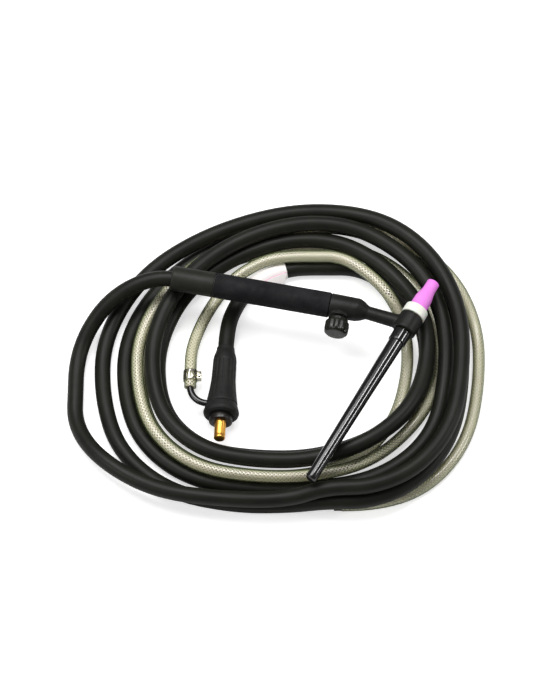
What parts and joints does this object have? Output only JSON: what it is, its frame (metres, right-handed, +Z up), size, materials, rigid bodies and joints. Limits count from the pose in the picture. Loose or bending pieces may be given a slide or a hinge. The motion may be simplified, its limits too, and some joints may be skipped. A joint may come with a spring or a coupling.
{
  "type": "gas tungsten arc welding torch with cable",
  "caption": "Gas-valve welding torch with grip, angled head, ceramic nozzle and long back cap, on a coil of power cable and gas hose with a plug.",
  "frame": {"origin": "on the floor, in the middle of the coil", "axes": "+X to the right in the picture, from the handle towards the head; +Y away from the viewer; +Z up"},
  "size_m": [0.3264, 0.2644, 0.0514],
  "materials": {
    "grip": "matt, fine texture",
    "boot_black": "satin rubber",
    "moulded_black": "satin moulded",
    "knob_black": "satin moulded",
    "cap_black": "glossy",
    "ceramic_pink": "unglazed pink",
    "insulator_white": "off-white",
    "liner_grey": "hidden liner",
    "brass": "turned",
    "copper_collet": "turned",
    "seal": "moulded",
    "plug_rubber": "matt rubber",
    "plug_disc": "satin",
    "elbow_black": "shiny tube",
    "clamp_steel": "bright plated",
    "cable_black": "satin rubber",
    "hose_clear": "translucent, braided",
    "tag_white": "blank"
  },
  "bodies": {
    "torch_and_leads": {"handle_sleeve": "grip", "handle_rear_boot": "boot_black", "torch_body": "moulded_black", "handle_tube": "liner_grey", "cable_ferrule": "brass", "neck_tube": "brass", "head_core": "brass", "valve_seat": "brass", "collet_body": "brass", "plug_core": "brass", "plug_pin": "brass", "hose_sleeve": "brass", "gas_nipple": "brass", "collet": "copper_collet", "stem_o_ring": "seal", "plug_boot": "plug_rubber", "plug_body": "plug_rubber", "plug_flange": "plug_disc", "gas_elbow": "elbow_black", "hose_clamp": "clamp_steel", "clamp_screw": "clamp_steel", "power_cable_lead": "cable_black", "power_cable_coil": "cable_black", "power_cable_tail": "cable_black", "gas_hose_lead": "hose_clear", "gas_hose_coil": "hose_clear", "cable_tag": "tag_white"},
    "cap_seal": {"cap_o_ring": "seal"},
    "cap": {"back_cap": "cap_black"},
    "nozzle_ring": {"nozzle_gasket": "insulator_white"},
    "nozzle_cup": {"nozzle": "ceramic_pink"},
    "needle": {"valve_stem": "brass"},
    "knob": {"gas_knob": "knob_black"}
  },
  "joints": [
    {"name": "cap_travel", "type": "slide", "parent": "torch_and_leads", "child": "cap_seal", "axis": [-0.4961, -0.8683, 0], "range_m": [0, 0.005]},
    {"name": "cap_turn", "type": "hinge", "parent": "cap_seal", "child": "cap", "pos_m": [0.1083, 0.01109, 0.0415], "axis": [-0.4961, -0.8683, 0], "range_deg": [0, 1446]},
    {"name": "nozzle_travel", "type": "slide", "parent": "torch_and_leads", "child": "nozzle_ring", "axis": [0.4961, 0.8683, 0], "range_m": [0, 0.006]},
    {"name": "nozzle_turn", "type": "hinge", "parent": "nozzle_ring", "child": "nozzle_cup", "pos_m": [0.1083, 0.01109, 0.0415], "axis": [0.4961, 0.8683, 0], "range_deg": [0, 1446]},
    {"name": "valve_lift", "type": "slide", "parent": "torch_and_leads", "child": "needle", "axis": [-0.1946, -0.9809, 0], "range_m": [0, 0.00112]},
    {"name": "knob_turn", "type": "hinge", "parent": "needle", "child": "knob", "pos_m": [0.05683, 0.02649, 0.0415], "axis": [-0.1946, -0.9809, 0], "range_deg": [0, 546]}
  ],
  "couplings": [
    {"joint": "cap_turn", "follows": "cap_travel", "rad_per_m": 5026.5},
    {"joint": "nozzle_turn", "follows": "nozzle_travel", "rad_per_m": 4188.8},
    {"joint": "knob_turn", "follows": "valve_lift", "rad_per_m": 8377.6}
  ]
}
